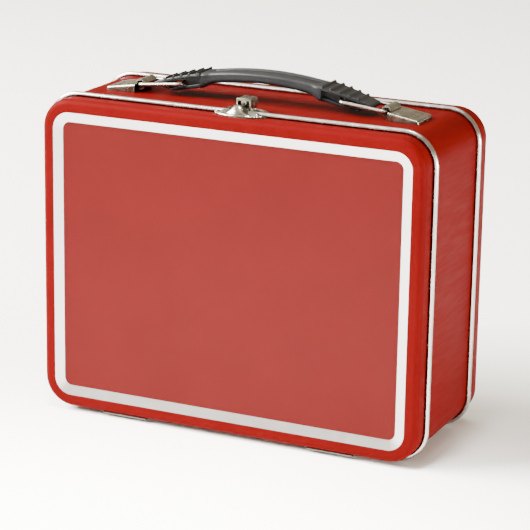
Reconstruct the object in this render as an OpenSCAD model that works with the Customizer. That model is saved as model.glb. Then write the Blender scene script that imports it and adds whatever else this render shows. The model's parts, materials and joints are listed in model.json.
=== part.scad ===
// Metal lunch box: pressed tinplate case with wired rims, a recessed front panel, a hinged lid,
// a snap latch and a moulded handle on two swinging wire loops.
// Frame: origin at the middle of the footprint, X along the width, Y into the depth
// (the lid is at -Y), Z up. Millimetres.

/* [Case] */
// Width of the case walls
case_w = 217; // [200:1:240]
// Height of the case walls, without the rims
case_h = 170; // [150:1:190]
// Depth of the closed case, lid face to back face
case_d = 90; // [80:1:110]
// Corner radius of the case seen from the front
corner_r = 16.3; // [16.3:1.85:20]
// Radius of the pressed edge round the lid face and the back face
edge_r = 4; // [3:0.5:5]
// Thickness of the tinplate
sheet_t = 0.4; // [0.3:0.05:0.6]
// Depth of the lid's wall, lid face to rim
lid_depth = 11.5; // [10:0.5:20]
// Depth of the back panel's wall, back face to rim
back_depth = 16.8; // [12:0.2:24]
// Outer radius of the rolled rims
rim_r = 1.4; // [1.2:0.1:1.6]

/* [Recessed panel] */
// Margin from the case wall to the outer edge of the sloped frame
frame_margin = 6.8; // [5.5:0.1:9]
// Width of the sloped frame
frame_w = 5.4; // [4:0.1:7]
// Depth of the recess
recess_depth = 1.4; // [0.8:0.1:2]

/* [Handle] */
// How far the handle sits to the right of the middle
handle_x = 1.8; // [0:0.2:3]
// Distance from the handle's middle to each loop's pivot
pivot_x = 70.5; // [70:0.5:71]
// Height of the loop pivots above the case wall
pivot_rise = 4.3; // [4.2:0.1:4.5]
// Height of the grip's crown above the case wall
crown_rise = 17; // [16.5:0.5:18]
// Radius of the grip's arch
arch_r = 190; // [185:5:200]
// Width of the grip
grip_w = 15.5; // [14:0.5:17]
// Radius of the loop wire
wire_r = 1.1; // [0.9:0.1:1.1]

/* [Latch] */
// Width of the latch plates
latch_w = 30; // [26:1:32]
// Width of the latch lever
lever_w = 8; // [7:0.1:8]
// How far the latch sits to the right of the middle
latch_x = 3; // [0:0.5:4]

/* [Hidden] */
$fn = 64;

// Colours
red = [0.69, 0.16, 0.13];
tin = [0.82, 0.82, 0.80];
nickel = [0.72, 0.71, 0.66];
steel = [0.62, 0.62, 0.62];
black = [0.16, 0.16, 0.17];

// Case planes
front_y = -case_d / 2;
back_y = case_d / 2;
front_rim_y = front_y + lid_depth;
rear_rim_y = back_y - back_depth;
stand_flat = 0.06;              // the rims are worn this much flat where the case stands on them
rim_out = rim_r - sheet_t;      // rim centre outside the case wall
rim_w = case_w + 2 * rim_out;
rim_h = case_h + 2 * rim_out;
rim_corner_r = corner_r + rim_out;
floor_z = 2 * rim_r - sheet_t - stand_flat;
top_z = floor_z + case_h;
mid_z = floor_z + case_h / 2;
wire_core_r = rim_r - sheet_t - 0.1;
rim_gap = 0.15;                 // lid wall to rim
flange_gap = 0.3;               // flange inside the case mouth
lid_flange = 4;                 // how far the lid's flange enters the mouth
back_flange = 5;

// Hinges, in line with the front rim
hinge_x = 60;
hinge_len = 26;
hinge_z = rim_r - stand_flat;   // also the knuckles' radius
hinge_gap = 0.3;
leaf_start = rim_r + 0.35;
knuckle_len = (hinge_len - 2 * hinge_gap) / 3;
hinge_pin_r = 0.6;
hinge_leaf_t = 0.6;
hinge_leaf_len = 8.4;
hinge_rivet_dx = 9;
hinge_rivet_y = 5;
rivet_r = 0.9;
rivet_head_r = 1.7;
low_head = 0.35;

// Handle
handle_y = (front_rim_y + rear_rim_y) / 2;
pivot_z = top_z + pivot_rise;
crown_z = top_z + crown_rise;
arch_z = crown_z - arch_r;
loop_in_x = 45.5;               // inner end of each loop at rest
loop_in_z = top_z + 7;
loop_half_w = 8.2;
loop_end_y = 2.5;
wire_bend = 2;
grip_end_x = 62.6;
rib_x0 = 35.7;
rib_pitch = 4.9;
ribs = 5;
plate_t = 1.8;
web_half_w = 4.6;
lip_half_w = 6.4;
lip_end_x = 55;
lip_in_z = top_z + 6;
lip_out_z = top_z + 1.9;
lip_t = 2.4;
grip_t = 5.5;
block_x = 31;
slot_end_x = 52.9;              // the slot falls outwards with the plate
slot_slope = 0.25;
slot_half_h = wire_r + 0.5;

// Handle brackets
bracket_in_x = 72.4;
bracket_out_x = 89.4;
bracket_half_w = 9.8;
bracket_t = 0.8;
bracket_in_h = 4.6;
bracket_out_h = 1.9;
barrel_r = 2.9;
barrel_half_len = 6.6;
tab_x = 79;
tab_w = 6;
tab_fold = 5;

// Latch
plate_thick = 0.8;
latch_front_y = front_y + 2.8;
latch_split_y = front_rim_y - rim_r - 0.3;
base_front_y = front_rim_y + rim_r + 0.2;
base_back_y = front_rim_y + 13;
pin_y = front_rim_y + 6.1;
pin_z = top_z + 4.8;
pin_r = 0.75;
lever_front = 4.5;              // lever reach in front of the pin
lever_back = 4;                 // and behind it
lever_up = 3.2;
lever_down = 3.6;
lever_chamfer = 1.5;            // lower front corner, clear of the rim
lever_t = 0.7;
ear_in_x = 1.9;
ear_r = 1.5;
ear_t = 0.7;
tongue_half_w = 2.4;
tongue_z = top_z + 3.2;
tongue_t = 0.8;
catch_y = front_rim_y + 3.4;
catch_r = 0.8;
dome_r = 7;
dome_h = 3.4;
dome_y = front_rim_y - 3.9;
dome_z = top_z + plate_thick + dome_h - dome_r;

keeper_rivet_x = latch_w / 2 - 4.6;
keeper_rivet_y = front_rim_y - 4.4;
base_rivet_x = latch_w / 2 - 4.4;
base_rivet_y = base_front_y + 3.6;
spring_wire_r = 0.22;
spring_r = 1.15;
spring_turns = 5;
spring_half_len = 1.55;

// ---- shared shapes ----

// Rounded rectangle, centred
module rounded(w, h, r) {
  square([w, h - 2 * r], center = true);
  square([w - 2 * r, h], center = true);
  for (sx = [-1, 1], sz = [-1, 1])
    translate([sx * (w / 2 - r), sz * (h / 2 - r)]) circle(r);
}

// Plate standing in the XZ plane round the middle of the case, from y0 to y1
module slab(w, h, r, y0, y1) {
  translate([0, y1, mid_z]) rotate([90, 0, 0]) linear_extrude(y1 - y0) rounded(w, h, r);
}

// Closed round ring that follows the case outline, with the section of radius r
module ring(w, h, cr, r, y) {
  for (sz = [-1, 1])
    translate([0, y, mid_z + sz * h / 2]) rotate([0, 90, 0])
      cylinder(r = r, h = w - 2 * cr, center = true, $fn = 24);
  for (sx = [-1, 1])
    translate([sx * w / 2, y, mid_z]) cylinder(r = r, h = h - 2 * cr, center = true, $fn = 24);
  for (k = [0 : 3])
    translate([(k == 0 || k == 3 ? 1 : -1) * (w / 2 - cr), y, mid_z + (k < 2 ? 1 : -1) * (h / 2 - cr)])
      rotate([90, 0, 0]) rotate([0, 0, 90 * k])
        rotate_extrude(angle = 90) translate([cr, 0]) circle(r, $fn = 24);
}

// Solid pan with a pressed edge of radius er round the face at y0; inset shrinks it all round
module pan(inset, y0, y1) {
  er = edge_r - inset;
  w = case_w - 2 * inset;
  h = case_h - 2 * inset;
  cr = corner_r - inset;
  s = sign(y1 - y0);
  slab(w - 2 * er, h - 2 * er, cr - er, min(y0, y1), max(y0, y1));
  slab(w, h, cr, min(y0 + s * er, y1), max(y0 + s * er, y1));
  ring(w - 2 * er, h - 2 * er, cr - er, er, y0 + s * er);
}

// Sloped recess cut into the face at y0, opening towards -s; deep moves it in by that much
module recess(y0, s, deep) {
  w1 = case_w - 2 * frame_margin;
  h1 = case_h - 2 * frame_margin;
  r1 = corner_r - frame_margin;
  run = frame_w / recess_depth;
  over = 1;                     // starts this far outside the face
  d0 = -over + deep;
  d1 = recess_depth + deep;
  grow = over * run;
  translate([0, y0, mid_z]) rotate([s > 0 ? -90 : 90, 0, 0]) {
    prism(w1 + 2 * grow, h1 - 2 * r1, w1 - 2 * frame_w, h1 - 2 * r1, d0, d1);
    prism(w1 - 2 * r1, h1 + 2 * grow, w1 - 2 * r1, h1 - 2 * frame_w, d0, d1);
    for (sx = [-1, 1], sz = [-1, 1])
      translate([sx * (w1 / 2 - r1), sz * (h1 / 2 - r1), d0])
        cylinder(r1 = r1 + grow, r2 = r1 - frame_w, h = d1 - d0);
  }
}

// Block whose rectangle changes from w0 by h0 at z0 to w1 by h1 at z1, on one axis
module prism(w0, h0, w1, h1, z0, z1) {
  if (h0 == h1)
    rotate([90, 0, 0]) linear_extrude(h0, center = true)
      polygon([[-w0 / 2, z0], [w0 / 2, z0], [w1 / 2, z1], [-w1 / 2, z1]]);
  else
    rotate([90, 0, 90]) linear_extrude(w0, center = true)
      polygon([[-h0 / 2, z0], [h0 / 2, z0], [h1 / 2, z1], [-h1 / 2, z1]]);
}

// Pressed shell of the lid or the back panel: face at y0, wall end at y1, flange to y2
module pressed_shell(y0, y1, y2) {
  s = sign(y1 - y0);
  step = sheet_t + flange_gap;
  difference() {
    union() {
      pan(0, y0, y1);
      slab(case_w - 2 * step, case_h - 2 * step, corner_r - step, min(y1, y2), max(y1, y2));
    }
    recess(y0, s, 0);
    difference() {
      union() {
        pan(sheet_t, y0 + s * sheet_t, y1 - s * sheet_t);
        slab(case_w - 2 * step - 2 * sheet_t, case_h - 2 * step - 2 * sheet_t, corner_r - step - sheet_t,
             min(y1 - s, y2) - 1, max(y1 - s, y2) + 1);
      }
      recess(y0, s, sheet_t);
    }
  }
}

// Snap rivet: shank from z0 to z1 with a low head at each end
module rivet(z0, z1, r = rivet_r, head_r = rivet_head_r) {
  translate([0, 0, z0]) cylinder(r = r, h = z1 - z0, $fn = 24);
  translate([0, 0, z0 - low_head]) cylinder(r1 = head_r - low_head, r2 = head_r, h = low_head, $fn = 24);
  translate([0, 0, z1]) cylinder(r1 = head_r, r2 = head_r - low_head, h = low_head, $fn = 24);
}

// ---- lid ----

module front_lid() color(red) difference() {
  pressed_shell(front_y, front_rim_y - rim_r - rim_gap, front_rim_y - rim_r + lid_flange);
  for (sx = [-1, 1]) {
    for (k = [-1, 1])
      translate([sx * hinge_x + k * hinge_rivet_dx, front_rim_y - hinge_rivet_y, floor_z - 1])
        cylinder(r = rivet_r + 0.05, h = 3, $fn = 24);
    translate([latch_x + sx * keeper_rivet_x, keeper_rivet_y, top_z - 1])
      cylinder(r = rivet_r + 0.05, h = 3, $fn = 24);
  }
}

// Half of the scalloped oval; half = -1 for the lid's plate and 1 for the case's plate
module scalloped(half) {
  y_edge = half < 0 ? latch_split_y : base_front_y;
  reach = half < 0 ? latch_split_y - latch_front_y : base_back_y - base_front_y;
  lobes = 5;
  intersection() {
    union() {
      translate([0, y_edge]) scale_oval(latch_w / 2 - 1, reach - 0.3);
      for (k = [0 : lobes - 1], sx = [-1, 1]) {
        a = 4 + k * 11;
        translate([sx * (latch_w / 2 - 1) * cos(a), y_edge + half * (reach - 0.3) * sin(a)])
          circle(1.25, $fn = 20);
      }
    }
    translate([-latch_w, half < 0 ? y_edge - 2 * reach : y_edge]) square([2 * latch_w, 2 * reach]);
  }
}

// Oval outline as a polygon with half axes a and b
module scale_oval(a, b) {
  n = 48;
  polygon([for (k = [0 : n - 1]) [a * cos(360 * k / n), b * sin(360 * k / n)]]);
}

module latch_keeper() color(nickel) translate([latch_x, 0, 0]) difference() {
  union() {
    translate([0, 0, top_z]) linear_extrude(plate_thick) scalloped(-1);
    // dome, pressed up out of the plate
    intersection() {
      translate([0, dome_y, dome_z]) sphere(dome_r);
      translate([-dome_r, front_y, top_z]) cube([2 * dome_r, latch_split_y - front_y + 1.5, 10]);
    }
    // tongue over the rim, with the catch rib across its end
    translate([-tongue_half_w, dome_y, tongue_z])
      cube([2 * tongue_half_w, catch_y + catch_r - dome_y, tongue_t]);
    translate([0, catch_y, tongue_z + tongue_t]) rotate([0, 90, 0])
      cylinder(r = catch_r, h = 2 * tongue_half_w, center = true, $fn = 24);
  }
  // hollow under the dome, open below
  intersection() {
    translate([0, dome_y, dome_z]) sphere(dome_r - plate_thick);
    translate([-dome_r, front_y, top_z - 1]) cube([2 * dome_r, latch_split_y - front_y - 0.6, 10]);
    translate([-dome_r, front_y, top_z - 1]) cube([2 * dome_r, 30, tongue_z - top_z + 1]);
  }
  // room for the rim below the dome's tail
  translate([-20, front_rim_y, top_z + rim_out]) rotate([0, 90, 0])
    cylinder(r = rim_r + 0.35, h = 40, $fn = 32);
  translate([-20, latch_split_y, top_z - 1]) cube([40, 4, rim_out + 1]);
  for (sx = [-1, 1])
    translate([sx * keeper_rivet_x, keeper_rivet_y, top_z - 1])
      cylinder(r = rivet_r + 0.05, h = 3, $fn = 24);
}

module keeper_rivets() color(nickel)
  for (sx = [-1, 1])
    translate([latch_x + sx * keeper_rivet_x, keeper_rivet_y, 0])
      rivet(top_z - sheet_t, top_z + plate_thick);

// Hinge leaf: plate under the case floor, rolled into knuckles round the hinge axis.
// dir is -1 for the lid's leaf, with one knuckle, and 1 for the case's leaf, with two.
module hinge_leaf(sx, dir) {
  color(steel) translate([sx * hinge_x, front_rim_y, hinge_z]) difference() {
    rotate([90, 0, 90]) linear_extrude(hinge_len, center = true) difference() {
      union() {
        circle(hinge_z, $fn = 48);
        translate([dir < 0 ? -leaf_start - hinge_leaf_len : 0, floor_z - hinge_z - hinge_leaf_t])
          square([leaf_start + hinge_leaf_len, hinge_leaf_t]);
      }
      circle(hinge_pin_r + 0.05, $fn = 32);
    }
    // room for the other leaf's knuckles
    if (dir > 0)
      knuckle_room(-knuckle_len / 2 - hinge_gap, knuckle_len / 2 + hinge_gap);
    else {
      knuckle_room(knuckle_len / 2, hinge_len);
      knuckle_room(-hinge_len, -knuckle_len / 2);
    }
    for (k = [-1, 1])
      translate([k * hinge_rivet_dx, dir * hinge_rivet_y, 0])
        cylinder(r = rivet_r + 0.05, h = 10, center = true, $fn = 24);
  }
}

module knuckle_room(x0, x1) {
  translate([x0, -leaf_start, -5]) cube([x1 - x0, 2 * leaf_start, 10]);
}

module hinge_rivets(dir) color(steel)
  for (sx = [-1, 1], k = [-1, 1])
    translate([sx * hinge_x + k * hinge_rivet_dx, front_rim_y + dir * hinge_rivet_y, 0])
      rivet(floor_z - hinge_leaf_t, floor_z + sheet_t);

// Straight pin with a small upset head at each end
module hinge_pin(sx) color(steel)
  translate([sx * hinge_x, front_rim_y, hinge_z]) rotate([0, 90, 0])
    cylinder(r = hinge_pin_r, h = hinge_len, center = true, $fn = 24);

// ---- case ----

// Wall strip of the case: its two edges are rolled outward round the rim wires
module body_band() color(red) difference() {
  union() {
    difference() {
      slab(case_w, case_h, corner_r, front_rim_y, rear_rim_y);
      slab(case_w - 2 * sheet_t, case_h - 2 * sheet_t, corner_r - sheet_t, front_rim_y - 1, rear_rim_y + 1);
    }
    for (y = [front_rim_y, rear_rim_y]) difference() {
      ring(rim_w, rim_h, rim_corner_r, rim_r, y);
      ring(rim_w, rim_h, rim_corner_r, wire_core_r + 0.1, y);
    }
  }
  // seam where each rolled edge comes back to the wall
  for (y = [front_rim_y + 0.05, rear_rim_y - 2.05]) difference() {
    slab(case_w + 0.5, case_h + 0.5, corner_r + 0.25, y, y + 2);
    slab(case_w, case_h, corner_r, y - 1, y + 3);
  }
  // the rims are worn flat where the case stands
  translate([-case_w, front_y, -2]) cube([2 * case_w, case_d, 2]);
  for (sx = [-1, 1]) {
    // gap in the front rim for the hinge
    translate([sx * hinge_x - hinge_len / 2 - hinge_gap, front_rim_y - 3, -1])
      cube([hinge_len + 2 * hinge_gap, 3 + leaf_start, floor_z + 2]);
    for (k = [-1, 1])
      translate([sx * hinge_x + k * hinge_rivet_dx, front_rim_y + hinge_rivet_y, floor_z - 1])
        cylinder(r = rivet_r + 0.05, h = 3, $fn = 24);
    translate([latch_x + sx * base_rivet_x, base_rivet_y, top_z - 1])
      cylinder(r = rivet_r + 0.05, h = 3, $fn = 24);
    // slots for the bracket tabs
    for (k = [-1, 1])
      translate([handle_x + sx * (tab_x + tab_w / 2) - tab_w / 2 - 0.1,
                 handle_y + k * (bracket_half_w - bracket_t / 2) - bracket_t / 2 - 0.1, top_z - 1])
        cube([tab_w + 0.2, bracket_t + 0.2, 3]);
  }
}

module back_panel() color(red)
  pressed_shell(back_y, rear_rim_y + rim_r + rim_gap, rear_rim_y + rim_r - back_flange);

// Steel wire inside a rolled rim; the front one stops either side of each hinge
module rim_wire(y, hinged) color(steel) difference() {
  ring(rim_w, rim_h, rim_corner_r, wire_core_r, y);
  if (hinged)
    for (sx = [-1, 1])
      translate([sx * hinge_x - hinge_len / 2 - hinge_gap, y - 3, -1])
        cube([hinge_len + 2 * hinge_gap, 6, floor_z + 1]);
}

// ---- latch ----

module latch_base() color(nickel) translate([latch_x, 0, 0]) difference() {
  union() {
    translate([0, 0, top_z]) linear_extrude(plate_thick) scalloped(1);
    for (sx = [-1, 1])
      translate([sx > 0 ? ear_in_x : -ear_in_x - ear_t, 0, 0]) {
        translate([0, pin_y - ear_r, top_z]) cube([ear_t, 2 * ear_r, pin_z - top_z]);
        translate([0, pin_y, pin_z]) rotate([0, 90, 0]) cylinder(r = ear_r, h = ear_t, $fn = 32);
      }
  }
  translate([0, pin_y, pin_z]) rotate([0, 90, 0])
    cylinder(r = pin_r + 0.05, h = 20, center = true, $fn = 32);
  for (sx = [-1, 1])
    translate([sx * base_rivet_x, base_rivet_y, top_z - 1]) cylinder(r = rivet_r + 0.05, h = 3, $fn = 24);
}

module latch_base_rivets() color(nickel)
  for (sx = [-1, 1])
    translate([latch_x + sx * base_rivet_x, base_rivet_y, 0]) rivet(top_z - sheet_t, top_z + plate_thick);

// Semi-tubular pin, drilled at both ends
module latch_pin() color(steel) translate([latch_x, pin_y, pin_z]) rotate([0, 90, 0]) difference() {
  cylinder(r = pin_r, h = lever_w, center = true, $fn = 32);
  for (s = [-1, 1])
    translate([0, 0, s * lever_w / 2]) cylinder(r = 0.4, h = 2, center = true, $fn = 24);
}

// Side view of the lever in Y and Z, round the pin
module lever_side() {
  translate([-lever_front, 0]) square([lever_front + lever_back, lever_up]);
  polygon([[-lever_front, 0.1], [-lever_front, lever_chamfer - lever_down],
           [lever_chamfer - lever_front, -lever_down], [0, -lever_down], [0, 0.1]]);
  circle(lever_down, $fn = 48);
}

module latch_lever() color(nickel) translate([latch_x, pin_y, pin_z]) difference() {
  union() {
    for (sx = [-1, 1])
      translate([sx > 0 ? lever_w / 2 - lever_t : -lever_w / 2, 0, 0])
        rotate([90, 0, 90]) linear_extrude(lever_t) lever_side();
    translate([-lever_w / 2, -lever_front, lever_up - lever_t])
      cube([lever_w, lever_front + lever_back, lever_t]);
    // hook in front of the catch rib
    translate([-1.7, -lever_front, -0.5]) cube([3.4, lever_t, lever_up + 0.5]);
  }
  rotate([0, 90, 0]) cylinder(r = pin_r + 0.05, h = 20, center = true, $fn = 32);
}

// Torsion spring: a coil round the pin with a short leg at each end
function spring_path() = let (n = 12 * spring_turns) concat(
  [[-spring_half_len, -1.5, 2.1]],
  [for (i = [0 : n]) let (a = 180 - 360 * spring_turns * i / n)
    [-spring_half_len + 2 * spring_half_len * i / n, spring_r * cos(a), spring_r * sin(a)]],
  [[spring_half_len, -1.3, -3.6]]);

// Round bar swept along a list of points, with 6 sides
module swept(path, r) {
  sides = 6;
  n = len(path);
  function unit(v) = v / norm(v);
  dirs = [for (i = [0 : n - 1]) unit(path[min(i + 1, n - 1)] - path[max(i - 1, 0)])];
  pts = [for (i = [0 : n - 1])
    let (u = unit([1, 0, 0] - (dirs[i] * [1, 0, 0]) * dirs[i]), v = cross(dirs[i], u))
      for (k = [0 : sides - 1]) path[i] + r * (cos(360 * k / sides) * u + sin(360 * k / sides) * v)];
  faces = concat(
    [[for (k = [0 : sides - 1]) k]],
    [for (i = [0 : n - 2], k = [0 : sides - 1])
      [i * sides + k, (i + 1) * sides + k, (i + 1) * sides + (k + 1) % sides, i * sides + (k + 1) % sides]],
    [[for (k = [sides - 1 : -1 : 0]) (n - 1) * sides + k]]);
  polyhedron(pts, faces, convexity = 10);
}

module latch_spring() color(steel) translate([latch_x, pin_y, pin_z]) swept(spring_path(), spring_wire_r);

// ---- handle ----

// Pressed cap with a rolled barrel at its inner end; side is -1 for left and 1 for right
module handle_bracket(side) color(nickel) translate([handle_x, handle_y, 0]) scale_side(side) {
  difference() {
    union() {
      cap_block(0);
      translate([pivot_x, 0, pivot_z]) rotate([90, 0, 0])
        cylinder(r = barrel_r, h = 2 * barrel_half_len, center = true, $fn = 48);
      for (k = [-1, 1]) {
        translate([tab_x, k * (bracket_half_w - bracket_t / 2) - bracket_t / 2, top_z - sheet_t - bracket_t])
          cube([tab_w, bracket_t, 3]);
        translate([tab_x, k > 0 ? bracket_half_w - tab_fold : -bracket_half_w,
            top_z - sheet_t - 0.05 - bracket_t])
          cube([tab_w, tab_fold, bracket_t]);
      }
    }
    cap_block(bracket_t);
    translate([pivot_x, 0, pivot_z]) rotate([90, 0, 0])
      cylinder(r = barrel_r - bracket_t, h = 30, center = true, $fn = 48);
  }
}

// Outer block of the cap, or with an inset the hollow inside it
module cap_block(inset) {
  x0 = bracket_in_x;
  x1 = bracket_out_x - inset;
  slope = (bracket_in_h - bracket_out_h) / (bracket_out_x - bracket_in_x);
  rise0 = top_z + bracket_in_h - inset;
  rise1 = top_z + bracket_out_h - inset;
  bottom = top_z - (inset > 0 ? 1 : 0);
  half = bracket_half_w - inset;
  bevel = 1.4;
  intersection() {
    rotate([90, 0, 0]) linear_extrude(2 * half, center = true)
      polygon([[x0, bottom], [x1, bottom], [x1, rise1 - 0.8], [x1 - 1.2, rise1 + slope * 1.2], [x0, rise0]]);
    translate([x0 - 1, 0, 0]) rotate([90, 0, 90]) linear_extrude(x1 - x0 + 2)
      polygon([[-half, bottom - 1], [half, bottom - 1], [half, top_z + 1.2], [half - bevel, top_z + 6],
               [-half + bevel, top_z + 6], [-half, top_z + 1.2]]);
  }
}

// Mirrors its children to the left side when side is -1
module scale_side(side) {
  if (side > 0) children();
  else mirror([1, 0, 0]) children();
}

// Flat U of wire: crossbar in the bracket's barrel, two legs, inner ends turned into the grip
module handle_loop(side) color(steel) translate([handle_x, handle_y, 0]) scale_side(side) {
  rise = loop_in_z - pivot_z;
  run = pivot_x - loop_in_x;
  len = sqrt(rise * rise + run * run);
  straight = loop_half_w - wire_bend;
  translate([pivot_x, 0, pivot_z]) rotate([0, atan2(rise, run), 0]) {
    rotate([90, 0, 0]) cylinder(r = wire_r, h = 2 * straight, center = true, $fn = 32);
    for (k = [-1, 1]) {
      translate([wire_bend - len, k * loop_half_w, 0]) rotate([0, 90, 0])
        cylinder(r = wire_r, h = len - 2 * wire_bend, $fn = 32);
      translate([-wire_bend, k * straight, 0]) wire_elbow(k > 0 ? 0 : -90);
      translate([wire_bend - len, k * straight, 0]) wire_elbow(k > 0 ? 90 : 180);
      translate([-len, k * straight, 0]) rotate([90 * k, 0, 0])
        cylinder(r = wire_r, h = straight - loop_end_y, $fn = 32);
    }
  }
}

// Quarter bend of the wire
module wire_elbow(turn) {
  rotate(turn) rotate_extrude(angle = 90) translate([wire_bend, 0]) circle(wire_r, $fn = 32);
}

function arch(x, drop = 0) = arch_z + sqrt(pow(arch_r - drop, 2) - x * x);

// Strip between two arcs of the arch, in X and Z
module arch_strip(x0, x1, drop0, drop1) {
  n = 12;
  polygon(concat(
    [for (i = [0 : n]) let (x = x0 + (x1 - x0) * i / n) [x, arch(x, drop0)]],
    [for (i = [n : -1 : 0]) let (x = x0 + (x1 - x0) * i / n) [x, arch(x, drop1)]]));
}

// Extrudes a profile drawn in X and Z across the grip, half_w to each side
module across(half_w) {
  rotate([90, 0, 0]) linear_extrude(2 * half_w, center = true) children();
}

function lip_z(x) = lip_in_z + (x - block_x - 2) * (lip_out_z - lip_in_z) / (lip_end_x - block_x - 2);

// Slot along the plate, round the loop's ends
module slot() {
  run = (slot_end_x - loop_in_x) / cos(atan(slot_slope));
  h = slot_half_h;
  e = 0.9 * h;
  translate([loop_in_x, loop_in_z]) rotate(-atan(slot_slope))
    polygon([[-0.4 * h, -h], [run + 0.4 * h, -h], [run + e, -h / 2], [run + e, h / 2], [run + 0.4 * h, h],
             [-0.4 * h, h], [-e, h / 2], [-e, -h / 2]]);
}

// One end of the grip: ribbed plate, core web, lower lip and the block they grow from
module grip_end() {
  // ribbed plate, narrowing to its end
  intersection() {
    union() {
      across(12) arch_strip(block_x, grip_end_x, 0, plate_t);
      for (k = [0 : ribs - 1]) {
        x = rib_x0 + k * rib_pitch;
        translate([x, 0, arch(x) - 0.1]) rotate([90, 0, 0])
          cylinder(r = 0.85, h = 24, center = true, $fn = 16);
      }
    }
    translate([0, 0, top_z]) linear_extrude(40)
      polygon([[block_x, -7.7], [rib_x0 - 1, -9.6], [grip_end_x + 1, -6],
               [grip_end_x + 1, 6], [rib_x0 - 1, 9.6], [block_x, 7.7]]);
  }
  // web and lower lip, with the slot the loop's ends slide in
  difference() {
    union() {
      across(web_half_w) polygon(concat(
        [for (x = [block_x : 4 : 59]) [x, arch(x, plate_t / 2)]],
        [[59, arch(59, 4)], [lip_end_x - 1, lip_z(lip_end_x - 1) + 0.5], [block_x, lip_z(block_x) + 0.5]]));
      across(lip_half_w) polygon([[block_x, lip_z(block_x)], [lip_end_x, lip_z(lip_end_x)],
        [lip_end_x, lip_z(lip_end_x) + lip_t], [block_x, lip_z(block_x) + lip_t]]);
    }
    across(20) slot();
  }
  // block between the middle and the jaw
  across(grip_w / 2)
    polygon([[22, arch(22, grip_t)], [26, arch(26, grip_t + 0.6)], [29, arch(29, grip_t + 1.8)],
    [block_x, lip_z(block_x)], [block_x + 4, lip_z(block_x + 4)], [block_x + 4, arch(block_x + 4, 0.2)],
    [22, arch(22, 0.2)]]);
}

module handle_grip() color(black) translate([handle_x, handle_y, 0]) {
  // middle: rounded strap bent to the arch
  translate([0, 0, arch_z]) rotate([-90, 0, 0]) rotate([0, 0, -90 - 10])
    rotate_extrude(angle = 20, $fn = 256)
    translate([arch_r - grip_t / 2, 0]) grip_section();
  for (s = [-1, 1]) scale_side(s) grip_end();
}

module grip_section() {
  r = 2.2;
  square([grip_t, grip_w - 2 * r], center = true);
  square([grip_t - 2 * r, grip_w], center = true);
  for (sx = [-1, 1], sy = [-1, 1])
    translate([sx * (grip_t / 2 - r), sy * (grip_w / 2 - r)]) circle(r, $fn = 32);
}

front_lid();
latch_keeper();
keeper_rivets();
hinge_leaf(-1, -1);  // lid_hinge_leaf_left
hinge_leaf(1, -1);  // lid_hinge_leaf_right
hinge_rivets(-1);  // lid_hinge_rivets
body_band();
back_panel();
rim_wire(front_rim_y, true);  // front_rim_wire
rim_wire(rear_rim_y, false);  // rear_rim_wire
hinge_leaf(-1, 1);  // body_hinge_leaf_left
hinge_leaf(1, 1);  // body_hinge_leaf_right
hinge_rivets(1);  // body_hinge_rivets
hinge_pin(-1);  // hinge_pin_left
hinge_pin(1);  // hinge_pin_right
latch_base();
latch_base_rivets();
latch_pin();
latch_spring();
latch_lever();
handle_bracket(-1);  // handle_bracket_left
handle_bracket(1);  // handle_bracket_right
handle_loop(-1);  // handle_loop_left
handle_loop(1);  // handle_loop_right
handle_grip();
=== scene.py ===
"""Looks of the metal lunch box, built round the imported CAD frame. Metres throughout."""

import json
import math

import bmesh
import bpy
from mathutils import Matrix, Vector


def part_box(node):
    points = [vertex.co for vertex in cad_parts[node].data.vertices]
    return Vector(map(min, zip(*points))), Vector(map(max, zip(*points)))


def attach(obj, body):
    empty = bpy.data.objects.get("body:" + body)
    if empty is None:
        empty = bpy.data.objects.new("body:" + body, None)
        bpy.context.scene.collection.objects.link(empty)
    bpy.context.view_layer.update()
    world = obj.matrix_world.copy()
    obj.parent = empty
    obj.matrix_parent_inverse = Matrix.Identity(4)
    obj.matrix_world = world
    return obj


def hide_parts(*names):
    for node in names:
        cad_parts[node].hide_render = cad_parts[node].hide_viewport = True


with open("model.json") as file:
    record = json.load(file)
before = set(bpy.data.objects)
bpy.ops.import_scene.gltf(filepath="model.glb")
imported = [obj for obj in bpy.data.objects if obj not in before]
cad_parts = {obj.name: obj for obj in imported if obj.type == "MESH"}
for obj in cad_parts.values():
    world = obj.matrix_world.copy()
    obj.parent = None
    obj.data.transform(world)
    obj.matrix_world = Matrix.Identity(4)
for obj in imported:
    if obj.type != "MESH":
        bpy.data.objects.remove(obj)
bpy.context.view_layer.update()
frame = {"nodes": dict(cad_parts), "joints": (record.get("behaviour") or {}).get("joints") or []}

MM = 0.001
PI = math.pi

# ---- places taken from the CAD frame ----

joints = {j["name"]: j for j in frame["joints"]}
lid_low, lid_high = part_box("front_lid")
band_low, band_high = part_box("body_band")
back_low, back_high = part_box("back_panel")

WALL_HALF_W = lid_high.x
WALL_LOW = lid_low.z
WALL_TOP = lid_high.z
WALL_HALF_H = (WALL_TOP - WALL_LOW) / 2
MID_Z = (WALL_TOP + WALL_LOW) / 2
LID_FACE = lid_low.y
BACK_FACE = back_high.y
HINGE = Vector(joints["lid_hinge"]["pos_m"])
FRONT_RIM = HINGE.y
rear_wire_low, rear_wire_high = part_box("rear_rim_wire")
REAR_RIM = (rear_wire_low.y + rear_wire_high.y) / 2
RIM_R = FRONT_RIM - band_low.y
RIM_OUT = band_high.x - WALL_HALF_W - RIM_R
LATCH_PIN = Vector(joints["latch_pivot"]["pos_m"])
LOOP_PIVOT = Vector(joints["loop_right_swing"]["pos_m"])
HANDLE_X = (LOOP_PIVOT.x + joints["loop_left_swing"]["pos_m"][0]) / 2
HANDLE_Y = LOOP_PIVOT.y
PIVOT_X = LOOP_PIVOT.x - HANDLE_X

# ---- sizes that the frame does not state ----

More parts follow.
